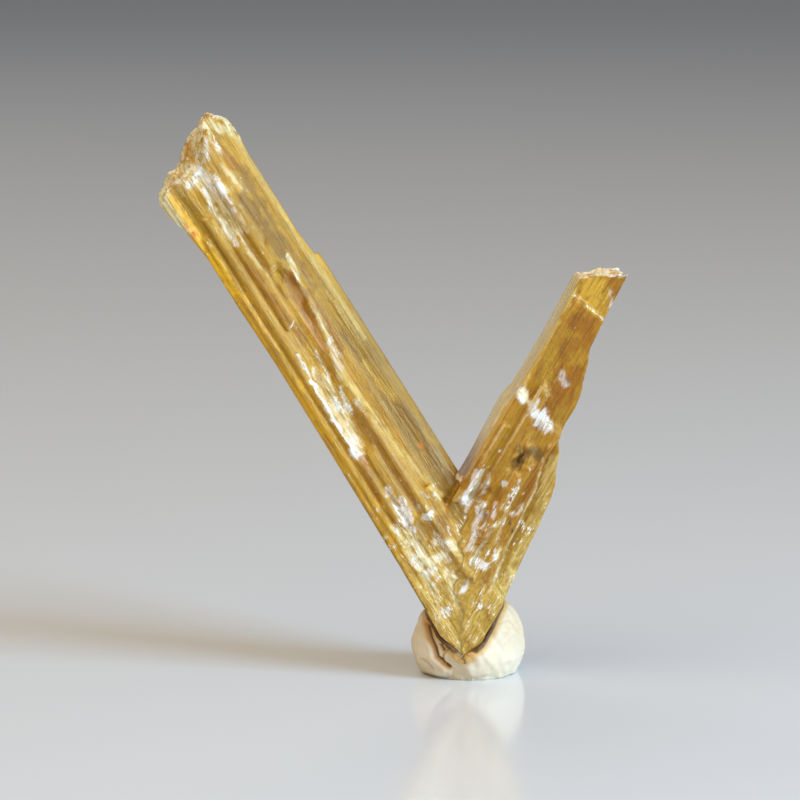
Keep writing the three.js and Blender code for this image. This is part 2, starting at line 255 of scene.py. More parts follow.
def crystal_relief(local, marks):
    """How far each point moves out of the face: striation, and hackle where the crystal is broken."""
    t, u, y, nt, nu, ny = local.T
    place = local[:, :3]
    broken, frost = marks["broken"], marks["frost"]
    striation = ledges(u, t, 3) * ny**2 + ledges(y, t, 9) * nu**2
    hackle = noise(place * 1.6, 21) + 0.5 * noise(place * 3.3, 22) + 0.4 * noise(place * 5.0, 23) - 0.95
    chips = noise(place * [1.2, 3.0, 3.0], 25) - 0.6
    on_faces = STRIATION_DEPTH * striation + CHIP_DEPTH * chips * frost
    return on_faces * (1 - broken) + HACKLE_DEPTH * hackle * broken


def make_crystal():
    piece = copy_of_node("cerussite_twin")
    remesh(piece, CRYSTAL_VOXEL)
    mesh = piece.data
    points, normals = read_points(mesh), read_normals(mesh)
    is_long, local = in_arm_frames(points, normals)
    marks = paint_crystal(is_long, local)
    relief = crystal_relief(local, marks)
    low, high = np.array(cad_box) / MM
    moved = points + normals * relief[:, None]
    write_points(mesh, np.clip(moved, low - MAX_PROUD, high + MAX_PROUD))
    # The grain runs along the third axis of "arm", which holds u, Y and t.
    grain = local[:, [1, 2, 0]] + np.where(is_long, 0, SHORT_GRAIN)[:, None]
    opaque = np.ones((len(local), 1))
    add_attribute(mesh, "arm", "FLOAT_VECTOR", grain)
    add_attribute(mesh, "tint", "FLOAT_COLOR", np.hstack([marks["tint"], opaque]))
    for name in ("clear", "frost", "speck", "streak"):
        add_attribute(mesh, name, "FLOAT", marks[name])
    piece.data.materials.append(crystal_material())
    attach(piece, "root")
    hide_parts("cerussite_twin")
    return piece


# Colours of the crystal, as they look in the light.
GOLD = srgb(226, 170, 14)
YELLOW = srgb(252, 192, 8)
TAN = srgb(214, 163, 40)
KHAKI = srgb(224, 177, 54)
PALE_KHAKI = srgb(248, 216, 122)
OLIVE = srgb(174, 131, 6)
OLIVE_GOLD = srgb(170, 124, 0)
CREAM = srgb(255, 240, 190)
WHITE = srgb(240, 237, 230)
AMBER = srgb(190, 121, 0)
DARK_AMBER = srgb(146, 102, 0)
BROWN = srgb(170, 106, 0)
DARK_BROWN = srgb(96, 62, 2)
TAUPE = srgb(192, 144, 60)
ORANGE = srgb(252, 128, 0)
TEAL = srgb(40, 66, 66)

# Markings on the front of each crystal: a line of (t, u), its half width, its colour, how strong it
# is, how frosted and how clear it is. Each lies over those before it.
LONG_MARKS = [
    ([(45, -0.4), (42.7, -0.5), (41.0, -0.1)], 0.9, CREAM, 1, 0.1, 0.1),
    ([(43.4, 0.5), (40.5, 0.55), (37.4, 0.7), (33.8, 0.7)], 0.36, YELLOW, 0.85, 0, 0.15),
    ([(33.8, 0.7), (26.3, 0.6), (18.8, 0.5), (11.7, 0.25)], 0.4, GOLD, 0.8, 0, 0.5),
    ([(41.0, 0.3), (40.8, 0.32)], 0.14, ORANGE, 0.9, 0, 0.4),
    ([(40.3, 0.42), (40.0, 0.44)], 0.14, ORANGE, 0.95, 0, 0.4),
    ([(43.2, 1.2), (41, 1.5), (36, 1.7)], 0.35, OLIVE, 0.6, 0, 0.5),
    ([(44.4, 1.8), (43.6, 3.4), (41.5, 3.9), (38.8, 3.4)], 0.9, CREAM, 0.65, 0.3, 0.2),
    ([(45.9, 5.1), (44.6, 4.2), (43.7, 3.2), (43.6, 2.0)], 0.3, WHITE, 0.85, 0.8, 0.1),
    ([(44.3, 3.4), (43.0, 3.8), (41.7, 4.0), (40.2, 4.1)], 0.45, WHITE, 0.8, 0.8, 0.1),
    ([(43.4, 4.4), (41.7, 4.15)], 0.16, WHITE, 1, 1, 0),
    ([(42.6, 3.0), (40.6, 2.7), (39.2, 2.85), (37.6, 2.9)], 0.22, WHITE, 0.75, 0.7, 0.1),
    ([(38.6, 3.6), (36.2, 3.5), (34.4, 3.7)], 0.2, CREAM, 0.6, 0.5, 0.2),
    ([(46.7, 5.9), (46.0, 6.5), (45.2, 7.1)], 0.4, CREAM, 0.8, 0.4, 0.2),
    ([(45.4, 5.45), (44.2, 5.75), (42.4, 6.1)], 0.3, AMBER, 0.8, 0, 0.6),
    ([(43.6, 5.2), (41.2, 5.5), (40.6, 5.9)], 0.18, CREAM, 0.7, 0.5, 0.2),
    ([(42.4, 6.15), (38.5, 6.0), (35.6, 6.0), (31.5, 6.1)], 0.36, OLIVE_GOLD, 0.85, 0, 0.6),
    ([(40.8, 5.25), (39.3, 5.3), (36.9, 5.4), (34.7, 5.5)], 0.34, DARK_AMBER, 0.95, 0, 0.3),
    ([(41, 4.7), (36, 4.8), (33.5, 5.0)], 0.3, OLIVE, 0.6, 0, 0.5),
    ([(33.4, 5.0), (31.3, 4.7), (28.7, 4.4), (26.9, 4.2)], 0.5, AMBER, 0.85, 0, 0.6),
    ([(35.5, 2.7), (31.0, 3.1), (28.4, 3.2)], 0.4, AMBER, 0.6, 0, 0.6),
    ([(34.8, 5.75), (32.0, 5.3), (29.6, 5.25), (27.2, 4.9)], 0.16, CREAM, 0.85, 0.6, 0.1),
    ([(27.2, 4.8), (25.5, 4.5), (24.5, 4.2)], 0.3, WHITE, 0.6, 0.6, 0.1),
    ([(31.6, 5.6), (28.2, 5.5), (26.2, 5.3)], 0.2, BROWN, 0.7, 0, 0.5),
    ([(41.8, 2.1), (35.8, 2.0), (28.4, 1.8)], 0.3, TAN, 0.6, 0, 0.5),
    ([(45.2, 7.2), (40.5, 7.1), (36.0, 6.95), (32, 7.2), (26, 7.3)], 0.14, PALE_KHAKI, 0.8, 0.1, 0.7),
    ([(33.4, 7.0), (30.6, 6.75), (25.6, 6.8)], 0.1, PALE_KHAKI, 0.7, 0, 0.7),
    ([(41.2, 6.8), (35.7, 6.6), (29.9, 6.9)], 0.12, OLIVE_GOLD, 0.6, 0, 0.7),
    ([(27.1, 6.3), (22.5, 6.2), (16.3, 6.3)], 0.45, OLIVE, 0.6, 0, 0.8),
    ([(24.2, 6.15), (22.5, 6.3), (20.8, 6.6)], 0.32, KHAKI, 0.75, 0.1, 0.6),
    ([(19.3, 7.1), (18.9, 7.15)], 0.1, DARK_BROWN, 0.8, 0, 0.5),
    ([(20, 6.9), (16.5, 6.8), (12.5, 7.2)], 0.5, OLIVE_GOLD, 0.85, 0, 0.8),
    ([(16.6, 6.4), (16.2, 6.5)], 0.14, ORANGE, 0.6, 0, 0.6),
    ([(24.7, 4.3), (22.1, 4.5), (16.8, 4.9), (12.2, 5.6)], 0.22, PALE_KHAKI, 0.85, 0.25, 0.4),
    ([(22.3, 4.1), (20.8, 4.2)], 0.12, WHITE, 0.9, 0.8, 0),
    ([(25.6, 2.75), (23.7, 2.75), (19.2, 2.3)], 0.62, CREAM, 0.7, 0.55, 0.2),
    ([(27.8, 2.2), (24.1, 2.0), (20.1, 1.85), (18.6, 1.85)], 0.15, WHITE, 1, 1, 0),
    ([(27.4, 3.5), (25.2, 3.35), (24.6, 3.1)], 0.1, WHITE, 0.9, 0.9, 0),
    ([(23.4, 2.9), (22.3, 2.7)], 0.3, WHITE, 1, 1, 0),
    ([(23.8, 3.6), (21.4, 3.3)], 0.16, WHITE, 0.9, 0.9, 0),
    ([(19.5, 2.3), (18.4, 2.0)], 0.34, WHITE, 0.9, 0.9, 0),
    ([(18.0, 2.1), (15.9, 1.7), (14.6, 1.5)], 0.3, AMBER, 0.7, 0, 0.5),
    ([(21, 3.7), (16.3, 4.0), (13.3, 3.5)], 0.7, TAUPE, 0.75, 0, 0.4),
    ([(15.0, 2.5), (12.7, 2.35), (10.1, 2.1), (7.7, 2.0)], 0.3, WHITE, 0.7, 0.8, 0.1),
    ([(11.7, 3.9), (9.4, 3.8), (7.6, 3.6)], 0.2, WHITE, 0.85, 0.8, 0.1),
    ([(12.1, 1.4), (8.8, 1.3), (5.3, 1.2)], 0.35, CREAM, 0.8, 0.6, 0.2),
    ([(6.8, 3.0), (4.6, 2.6)], 0.4, CREAM, 0.7, 0.6, 0.2),
    ([(17.7, 0.25), (11.7, 0.15), (5.1, -0.1)], 0.1, OLIVE_GOLD, 0.85, 0, 0.5),
    ([(13.4, 4.6), (12.74, 4.75)], 0.12, WHITE, 0.9, 0.9, 0),
    ([(12.76, 5.31), (12.23, 5.26)], 0.14, WHITE, 0.9, 0.9, 0),
    ([(12.47, 3.83), (11.13, 3.73), (9.76, 3.8)], 0.17, WHITE, 0.9, 0.9, 0),
    ([(11.63, 4.42), (11.13, 4.01)], 0.16, WHITE, 0.8, 0.9, 0),
    ([(13.7, 2.93), (11.97, 2.68), (11.17, 2.45)], 0.3, WHITE, 0.85, 0.75, 0.1),
    ([(9.31, 3.61), (8.52, 4.42), (8.28, 3.15), (8.39, 2.38)], 0.4, CREAM, 0.85, 0.45, 0.2),
    ([(11.77, 1.81), (9.83, 1.89), (7.25, 1.94)], 0.26, CREAM, 0.85, 0.5, 0.2),
    ([(9.44, 1.46), (7.3, 1.41)], 0.2, WHITE, 0.8, 0.7, 0.1),
    ([(7.97, 1.84), (7.4, 1.85)], 0.14, WHITE, 1, 1, 0),
    ([(10.67, 4.74), (9.53, 4.31)], 0.45, BROWN, 0.6, 0, 0.5),
]
SHORT_MARKS = [
    ([(31.3, 7.9), (32.2, 6.6), (33.0, 5.0)], 0.3, CREAM, 0.5, 0.3, 0.3),
    # This white line on the short crystal's outer edge near the top is a painted glint.
    ([(31.4, 5.0), (30.2, 4.4)], 0.2, WHITE, 0.9, 0.9, 0),
    ([(31.6, 7.0), (30.2, 5.6)], 1.3, KHAKI, 0.8, 0.1, 0.3),
    # This thin amber line lies along the step at the top of the short crystal: painted shade at the
    # step.
    ([(29.1, 7.2), (28.85, 4.7)], 0.16, AMBER, 0.8, 0, 0.4),
    ([(28.0, 6.2), (27.9, 4.9), (26.9, 3.8)], 0.75, BROWN, 0.95, 0, 0.4),
    ([(26.8, 4.8), (26.0, 6.0), (23.8, 5.6)], 0.5, BROWN, 0.7, 0, 0.4),
    ([(19.9, 4.6), (22.4, 4.3), (24.3, 4.2)], 0.75, BROWN, 0.95, 0, 0.4),
    ([(22.6, 5.9), (24.8, 6.2)], 0.5, KHAKI, 0.5, 0, 0.5),
    ([(23.8, 5.0), (23.3, 4.3)], 0.3, WHITE, 0.7, 0.8, 0.1),
    ([(23.8, 4.6), (23.5, 4.3)], 0.1, TEAL, 0.8, 0.2, 0.2),
    ([(16.1, 4.4), (17.3, 4.2), (17.4, 3.4)], 0.5, DARK_BROWN, 0.75, 0, 0.5),
    ([(17.4, 5.0), (16.7, 4.6)], 0.08, TEAL, 0.75, 0, 0.2),
    ([(30.4, 7.7), (25.5, 7.5), (21.7, 7.4)], 0.3, PALE_KHAKI, 0.75, 0.1, 0.6),
    ([(20.8, 7.4), (14.5, 7.4)], 0.2, KHAKI, 0.6, 0, 0.6),
    ([(20.95, 7.3), (20.5, 5.6)], 0.36, WHITE, 1, 0.7, 0.1),
    ([(20.8, 6.8), (20.1, 4.8)], 0.4, CREAM, 1, 0.6, 0.1),
    ([(20.5, 5.6), (19.75, 3.9)], 0.55, WHITE, 1, 0.8, 0.1),
    ([(20.5, 6.9), (19.9, 5.2)], 0.12, WHITE, 0.95, 0.9, 0),
    ([(13.6, 8.1), (12.3, 7.7), (11.3, 7.4), (10.0, 6.9)], 0.5, PALE_KHAKI, 0.6, 0.4, 0.3),
    ([(13.9, 6.6), (12.2, 6.1), (10.6, 6.0)], 0.32, WHITE, 0.7, 0.7, 0.1),
    ([(7.7, 3.4), (10.4, 3.6), (12.5, 4.2)], 0.2, WHITE, 0.8, 0.8, 0.1),
    ([(15.0, 3.6), (12.0, 3.2), (9.6, 2.6)], 0.12, WHITE, 0.75, 0.8, 0.1),
    ([(12.6, 3.7), (12.3, 3.6)], 0.2, WHITE, 1, 1, 0),
    ([(16.4, 3.1), (13.6, 2.5)], 0.35, BROWN, 0.4, 0, 0.5),
    ([(11.7, 2.6), (11.5, 2.5)], 0.12, TEAL, 0.85, 0, 0.3),
    ([(11.3, 2.05), (11.1, 2.0)], 0.14, TEAL, 0.85, 0, 0.3),
    ([(14.1, 6.85), (13.9, 6.8)], 0.12, TEAL, 0.7, 0, 0.3),
    ([(6.3, 2.8), (6.1, 2.75)], 0.12, TEAL, 0.7, 0, 0.3),
    ([(17.6, 1.9), (13.1, 0.9), (9.5, 0.5), (5.5, 0.0)], 0.5, PALE_KHAKI, 0.6, 0, 0.6),
    ([(17.4, 2.9), (14.9, 2.1), (10.1, 1.7), (6.1, 1.1)], 0.12, CREAM, 0.6, 0.2, 0.3),
    ([(8.7, 1.9), (6.5, 1.7)], 0.4, BROWN, 0.45, 0, 0.5),
    ([(12.81, 8.25), (11.49, 8.29)], 0.8, PALE_KHAKI, 0.9, 0.1, 0.4),
    ([(12.66, 7.88), (12.43, 7.47)], 0.2, WHITE, 0.9, 0.9, 0),
    ([(13.83, 6.84), (12.71, 6.54), (11.39, 6.58)], 0.28, WHITE, 0.9, 0.75, 0.1),
    ([(14.14, 5.84), (12.74, 5.55)], 0.16, WHITE, 0.85, 0.8, 0.1),
    ([(14.18, 4.67), (13.91, 4.51)], 0.18, WHITE, 1, 1, 0),
    ([(13.51, 3.63), (13.02, 3.52)], 0.15, WHITE, 1, 1, 0),
    ([(13.33, 2.52), (12.66, 2.39), (12.29, 2.72)], 0.16, WHITE, 0.9, 0.9, 0),
    ([(11.95, 5.17), (10.44, 4.74), (8.24, 4.07)], 0.3, WHITE, 0.9, 0.75, 0.1),
    ([(11.49, 4.53), (9.63, 4.07)], 0.16, WHITE, 0.9, 0.9, 0),
    ([(11.21, 3.45), (10.22, 3.87), (10.03, 4.49)], 0.24, CREAM, 0.85, 0.6, 0.1),
    ([(7.54, 3.38), (7.7, 2.47)], 0.3, WHITE, 0.7, 0.6, 0.1),
    ([(5.03, 2.9), (5.74, 2.95)], 0.26, WHITE, 0.9, 0.85, 0),
    ([(5.8, 1.61), (6.43, 1.8)], 0.2, CREAM, 0.9, 0.6, 0),
    ([(9.47, 2.14), (8.48, 2.1)], 0.2, CREAM, 0.9, 0.4, 0.1),
    ([(6.04, 4.96), (4.37, 4.34)], 0.32, CREAM, 0.85, 0.5, 0.2),
    ([(12.73, 3.53), (8.24, 2.51)], 0.3, KHAKI, 0.6, 0, 0.4),
    ([(12.09, 5.71), (11.16, 5.71)], 0.16, DARK_AMBER, 0.7, 0, 0.4),
    ([(11.24, 4.48), (10.47, 4.38)], 0.14, DARK_AMBER, 0.7, 0, 0.4),
]


def distance_to_line(t, u, line):
    """How far points lie from a line of straight stretches."""
    best = np.full(len(t), 1e9)
    for (t0, u0), (t1, u1) in zip(line, line[1:]):
        length2 = (t1 - t0) ** 2 + (u1 - u0) ** 2
        s = np.clip(((t - t0) * (t1 - t0) + (u - u0) * (u1 - u0)) / length2, 0, 1)
        best = np.minimum(best, np.hypot(t - t0 - s * (t1 - t0), u - u0 - s * (u1 - u0)))
    return best


def blend(values, target, mask):
    """Values that turn into the target as the mask goes from 0 to 1."""
    weight = mask[:, None] if values.ndim == 2 else mask
    return values * (1 - weight) + target * weight


def painted_bright_side(t, nu):
    """How far a point is on the short crystal's side face, painted pale and less clear as a painted
    highlight, which fades out at the junction.
    """
    return smooth(0.5, 0.8, nu) * smooth(12, 17, t)


def ground_colours(is_long, t, u, y, nu):
    """The crystals' colours without their markings."""
    cloud = noise(columns(t * 0.25, u * 0.8, y * 0.5), 41)
    long_tint = np.tile(TAN, (len(t), 1))
    long_tint = blend(long_tint, GOLD, smooth(1.5, 0.6, u) * 0.8)
    spots = noise(columns(t * 1.1, u * 3.2, y), 43)
    long_tint = blend(long_tint, YELLOW, smooth(0.6, 0.75, spots) * smooth(2.0, 1.2, u) * 0.8)
    long_tint = blend(long_tint, OLIVE, smooth(0.45, 0.8, cloud) * 0.5)
    strip = blend(np.tile(OLIVE, (len(t), 1)), KHAKI, smooth(26, 36, t))
    long_tint = blend(long_tint, strip, smooth(STRIP_EDGE - 0.2, STRIP_EDGE + 0.2, u))
    long_tint = blend(long_tint, CREAM, smooth(0.9, 0.2, u) * smooth(41.0, 42.5, t) * 0.9)
    short_tint = np.tile(TAN * 0.6 + BROWN * 0.4, (len(t), 1))
    short_tint = blend(short_tint, BROWN, smooth(0.5, 0.8, cloud) * 0.6)
    short_tint = blend(short_tint, OLIVE, smooth(0.5, 0.2, cloud) * 0.35)
    # The short crystal's side face is painted cream and pale khaki: a painted highlight.
    short_tint = blend(short_tint, 0.6 * CREAM + 0.4 * PALE_KHAKI, painted_bright_side(t, nu))
    tint = np.where(is_long[:, None], long_tint, short_tint)
    return blend(tint, 0.6 * KHAKI + 0.4 * PALE_KHAKI, smooth(12, 6, t) * 0.8)


def paint_markings(coat, is_long, t, u, y, ny):
    """Lays the markings on the front faces and the strip."""
    ragged = noise(columns(t * 0.9, u * 3.2, y), 45) + noise(columns(t * 2.6, u * 5, y), 46) - 1
    reach = FRONT + MARKS_REACH
    in_front = smooth(0.1, -0.2, ny) * smooth(reach + MARKS_FADE, reach, y)
    for marks, on_arm in ((LONG_MARKS, is_long), (SHORT_MARKS, ~is_long)):
        for line, half_width, colour, strength, frosted, clearness in marks:
            away = distance_to_line(t, u, line) / half_width + ragged * (0.9 + 0.6 * frosted)
            mask = smooth(1.25, 0.6, away) * strength * in_front * on_arm
            coat["tint"] = blend(coat["tint"], colour, mask * (1 - 0.5 * frosted))
            coat["frost"] = blend(coat["frost"], frosted, mask)
            coat["clear"] = blend(coat["clear"], clearness * MARK_CLEARNESS, mask)


def paint_broken(coat, is_long, local):
    """Makes the torn ends cream, with grains of tan and amber."""
    t, u, y, nt, nu, ny = local.T
    ends = smooth(0.45, 0.75, np.abs(nt)) * smooth(*ENDS_TORN, t)
    torn_top = is_long * smooth(*TOP_TORN, t) * smooth(-0.9, -0.7, ny)
    broken = np.maximum(ends, torn_top)
    grains = 0.5 * noise(local[:, :3] * 2.0, 47) + 0.5 * noise(local[:, :3] * 4.5, 48)
    tint = blend(coat["tint"], CREAM, broken * 0.9)
    tint = blend(tint, TAN, broken * smooth(0.48, 0.4, grains) * 0.9)
    coat["tint"] = blend(tint, AMBER, broken * smooth(0.38, 0.28, grains) * 0.8)
    coat["clear"] = blend(coat["clear"], BROKEN_CLEAR, broken)
    coat["frost"] = blend(coat["frost"], BROKEN_FROST, broken)
    coat["speck"] = blend(coat["speck"], 1, broken)
    coat["broken"] = broken


def paint_crystal(is_long, local):
    """What each point looks like: colour, clearness, frost, specks, streaks, and how broken it is."""
    t, u, y, nt, nu, ny = local.T
    set_back = smooth(-0.5, -0.1, ny) * smooth(1.5, 3.0, y - FRONT)
    behind = np.maximum(set_back, smooth(0.1, 0.5, ny))
    # The short crystal's side face is a painted highlight: cream, less clear and with weak streaks.
    bright_side = painted_bright_side(t, nu) * ~is_long
    tint = ground_colours(is_long, t, u, y, nu)
    clear = np.where(is_long & (u > STRIP_EDGE), STRIP_CLEAR, FRONT_CLEAR) + BACK_CLEARER * behind
    coat = {
        "tint": blend(tint, GOLD, 0.6 * behind * (1 - bright_side)),
        "clear": blend(clear, SIDE_CLEAR, bright_side),
        "frost": TIP_FROST * smooth(13, 8, t),
        "speck": np.where(is_long, smooth(17, 11, t) * 0.75 + 0.25, smooth(19, 12, t) * 0.65 + 0.3),
    }
    paint_markings(coat, is_long, t, u, y, ny)
    paint_broken(coat, is_long, local)
    coat["streak"] = blend(0.95 - 0.95 * coat["clear"], 0.3, bright_side)
    return coat


# Shaders

ALONG = (1, 1, 0.045)  # stretches noise into streaks along the arm


class Nodes:
    """A short way to add and link the nodes of one material."""

    def __init__(self, name):
        self.material = bpy.data.materials.new(name)
        self.material.use_nodes = True
        self.tree = self.material.node_tree
        self.shader = self.tree.nodes["Principled BSDF"]
        self.output = self.tree.nodes["Material Output"]

    def add(self, kind, **settings):
        node = self.tree.nodes.new(kind)
        for key, value in settings.items():
            setattr(node, key, value)
        return node

    def link(self, source, target):
        self.tree.links.new(source, target)

    def attribute(self, name):
        return self.add("ShaderNodeAttribute", attribute_name=name)

    def math(self, operation, a, b):
        node = self.add("ShaderNodeMath", operation=operation)
        for socket, value in zip(node.inputs, (a, b)):
            self.set(socket, value)
        return node.outputs[0]

    def set(self, socket, value):
        if isinstance(value, bpy.types.NodeSocket):
            self.link(value, socket)
        else:
            socket.default_value = value

    def scaled(self, vector, scale):
        node = self.add("ShaderNodeVectorMath", operation="MULTIPLY")
        self.link(vector, node.inputs[0])
        node.inputs[1].default_value = scale
        return node.outputs[0]

    def noise(self, vector, scale, detail, roughness):
        node = self.add("ShaderNodeTexNoise")
        self.link(vector, node.inputs["Vector"])
        node.inputs["Scale"].default_value = scale
        node.inputs["Detail"].default_value = detail
        node.inputs["Roughness"].default_value = roughness
        return node.outputs["Fac"]

    def ramp(self, value, low, high, out_low=0.0, out_high=1.0):
        node = self.add("ShaderNodeMapRange", interpolation_type="SMOOTHSTEP")
        self.set(node.inputs["Value"], value)
        node.inputs["From Min"].default_value = low
        node.inputs["From Max"].default_value = high
        node.inputs["To Min"].default_value = out_low
        node.inputs["To Max"].default_value = out_high
        return node.outputs["Result"]

    def mix(self, factor, a, b, blend="MIX"):
        node = self.add("ShaderNodeMix", data_type="RGBA", blend_type=blend, clamp_result=True)
        self.set(node.inputs[0], factor)
        for socket, value in ((node.inputs[6], a), (node.inputs[7], b)):
            if isinstance(value, bpy.types.NodeSocket):
                self.link(value, socket)
            else:
                socket.default_value = (*value, 1)
        return node.outputs[2]

    def bump(self, height, strength, depth_mm):
        node = self.add("ShaderNodeBump")
        node.inputs["Strength"].default_value = strength
        node.inputs["Distance"].default_value = depth_mm * MM
        self.link(height, node.inputs["Height"])
        self.link(node.outputs["Normal"], self.shader.inputs["Normal"])


def streaked(n, tint, arm, fine, contrast):
    """The tint with pale, dark and lilac streaks along the arm, and its dark shade."""
    broad = n.noise(n.scaled(arm, ALONG), 1.7, 3, 0.55)
    mottle = n.noise(n.scaled(arm, (1, 1, 0.5)), 2.1, 4, 0.7)
    pale = n.mix(1.0, tint, (1.2, 1.21, 1.45), "MULTIPLY")
    colour = n.mix(n.ramp(broad, 0.4, 0.65, 0, 0.68), tint, pale)
    dark = n.mix(1.0, colour, (0.5, 0.4, 0.1), "MULTIPLY")
    colour = n.mix(n.math("MULTIPLY", n.ramp(fine, 0.5, 0.63), contrast), colour, dark)
    colour = n.mix(n.math("MULTIPLY", n.ramp(mottle, 0.52, 0.64, 0, 0.6), contrast), colour, dark)
    lilac = n.mix(1.0, colour, (1.1, 1.14, 1.8), "MULTIPLY")
    colour = n.mix(n.math("MULTIPLY", n.ramp(fine, 0.42, 0.32, 0, 1.1), contrast), colour, lilac)
    return colour, dark


def etched_level(n, arm, flecks, frost, speck):
    """How near a place is to being etched white: frost and bunches of specks raise it."""
    fibres = n.noise(n.scaled(arm, (1, 1, 0.18)), 7.0, 3, 0.65)
    clusters = n.noise(arm, 0.75, 2, 0.5)
    texture = n.math("ADD", n.math("MULTIPLY", flecks, 0.55), n.math("MULTIPLY", fibres, 0.45))
    bunched = n.math("MULTIPLY", n.ramp(clusters, 0.35, 0.68, -0.05, 0.13), speck)
    raised = n.math("ADD", n.math("MULTIPLY", frost, 0.165), bunched)
    return n.math("ADD", texture, n.math("SUBTRACT", raised, 0.09))


def crystal_material():
    n = Nodes("cerussite")
    arm = n.attribute("arm").outputs["Vector"]
    tint = n.attribute("tint").outputs["Color"]
    clear = n.attribute("clear").outputs["Fac"]
    frost = n.attribute("frost").outputs["Fac"]
    speck = n.attribute("speck").outputs["Fac"]
    contrast = n.attribute("streak").outputs["Fac"]
    fine = n.noise(n.scaled(arm, ALONG), 5.6, 3, 0.7)
    flecks = n.noise(n.scaled(arm, (1, 1, 0.55)), 3.6, 4, 0.72)
    colour, dark = streaked(n, tint, arm, fine, contrast)
    level = etched_level(n, arm, flecks, frost, speck)
    white = n.ramp(level, 0.54, 0.63)
    # Where the etching is low, beside the white, the colour turns dark: partly dark specks, partly
    # painted shade beside the white.
    dark_specks_and_shade = n.math("MULTIPLY", n.ramp(level, 0.46, 0.36), speck)
    colour = n.mix(n.math("MULTIPLY", dark_specks_and_shade, 0.55), colour, dark)
    colour = n.mix(white, colour, WHITE)
    n.link(colour, n.shader.inputs["Base Color"])
    see = n.math("MULTIPLY", clear, n.ramp(white, 0.0, 1.0, 1.0, 0.05))
    n.link(see, n.shader.inputs["Transmission Weight"])
    # The fine grain roughens the surface a little, and white roughens it more.
    polish = n.math("MULTIPLY", n.ramp(fine, 0.3, 0.7, 0.08, 0.24), n.math("ADD", contrast, 0.3))
    roughness = n.math("ADD", polish, n.math("MULTIPLY", white, 0.2))
    n.link(roughness, n.shader.inputs["Roughness"])
    n.shader.inputs["IOR"].default_value = 1.8
    n.shader.inputs["Specular IOR Level"].default_value = 0.32
    n.shader.inputs["Specular Tint"].default_value = (1, 0.91, 0.62, 1)
    chips = n.add("ShaderNodeTexVoronoi")
    n.link(n.scaled(arm, (1, 1, 0.6)), chips.inputs["Vector"])
    chips.inputs["Scale"].default_value = 2.4
    chipped = n.math("ADD", frost, n.math("MULTIPLY", speck, 0.4))
    facets = n.math("MULTIPLY", chips.outputs["Distance"], chipped)
    n.bump(n.math("ADD", facets, n.math("ADD", fine, flecks)), 0.9, 0.12)
    # Light that goes deep into the crystal turns honey-coloured.
    absorb = n.add("ShaderNodeVolumeAbsorption")
    absorb.inputs["Color"].default_value = (0.985, 0.875, 0.3, 1)
    absorb.inputs["Density"].default_value = 520
    n.link(absorb.outputs["Volume"], n.output.inputs["Volume"])
    return n.material


# The putty


# Colours of the putty: its clouds, then the painted light near the crystal, the painted shade where
# they touch, and the painted shade in the cracks.
PUTTY_DARK = srgb(221, 202, 166)
PUTTY_PALE = srgb(230, 214, 186)
PUTTY_GLOW = srgb(206, 158, 70)
PUTTY_CONTACT_SHADE = srgb(84, 50, 12)
CRACK_EDGE_SHADE = srgb(198, 142, 60)
CRACK_DEPTH_SHADE = srgb(76, 54, 30)

# Cracks and dimples in the front of the putty: a line of (x, z), its half width and its depth. The
# first is the main crack.
PUTTY_CRACKS = [
    ([(-3.44, 4.3), (-3.3, 3.4), (-2.98, 2.6), (-2.8, 1.85), (-2.3, 1.35), (-1.76, 0.95)], 0.15, 0.42),
    ([(-1.9, 2.7), (-2.36, 2.1), (-2.4, 1.6), (-2.16, 1.2)], 0.1, 0.24),
    ([(-2.62, 2.95), (-2.35, 2.55)], 0.18, 0.4),
    ([(-3.68, 1.6), (-3.3, 1.3), (-3.0, 0.9)], 0.14, 0.18),
    ([(1.2, 2.2), (2.2, 2.9), (3.1, 3.6)], 0.16, 0.07),
    ([(2.4, 4.5), (3.0, 4.6), (3.5, 4.3)], 0.12, 0.07),
]


def press_on(points, normals, crystal):
    """Moves the putty that faces the crystal against it, and gives how far away it was before."""
    tree = BVHTree.FromObject(crystal, bpy.context.evaluated_depsgraph_get())
    nearest = [tree.find_nearest(Vector(p * MM)) for p in points]
    gap = np.array([n[3] / MM for n in nearest])
    to_crystal = np.array([n[0] for n in nearest]) / MM - points
    facing = np.einsum("ij,ij->i", to_crystal, normals) / np.maximum(gap, 1e-6)
    press = np.where(gap < PRESS_REACH, gap, 0) * smooth(0.2, 0.7, facing)
    return points + normals * press[:, None], gap


def putty_relief(points, in_front):
    """How far each point moves out, and how deep in a crack it is, which sets the painted shade in the
    cracks.
    """
    x, z = points[:, 0], points[:, 2]
    relief = LUMPS * (noise(points * 0.8, 31) - 0.5) + SMALL_LUMPS * (noise(points * 2.0, 32) - 0.5)
    # The flap left of the main crack is proud of it, and what lies inside the crack is sunk.
    main_crack = sorted(PUTTY_CRACKS[0][0], key=lambda point: point[1])
    crack_x = np.interp(z, [p[1] for p in main_crack], [p[0] for p in main_crack])
    outside = crack_x - x
    relief += in_front * FLAP_HEIGHT * smooth(0, 0.35, outside)
    relief -= in_front * SUNK_DEPTH * smooth(0, 0.25, -outside) * smooth(1.7, 0.9, -outside)
    crack = np.zeros(len(points))
    for line, half_width, depth in PUTTY_CRACKS:
        cut = np.exp(-((distance_to_line(x, z, line) / half_width) ** 2)) * in_front
        relief -= depth * cut
        crack = np.maximum(crack, cut * min(depth * 2.5, 1))
    return relief, crack


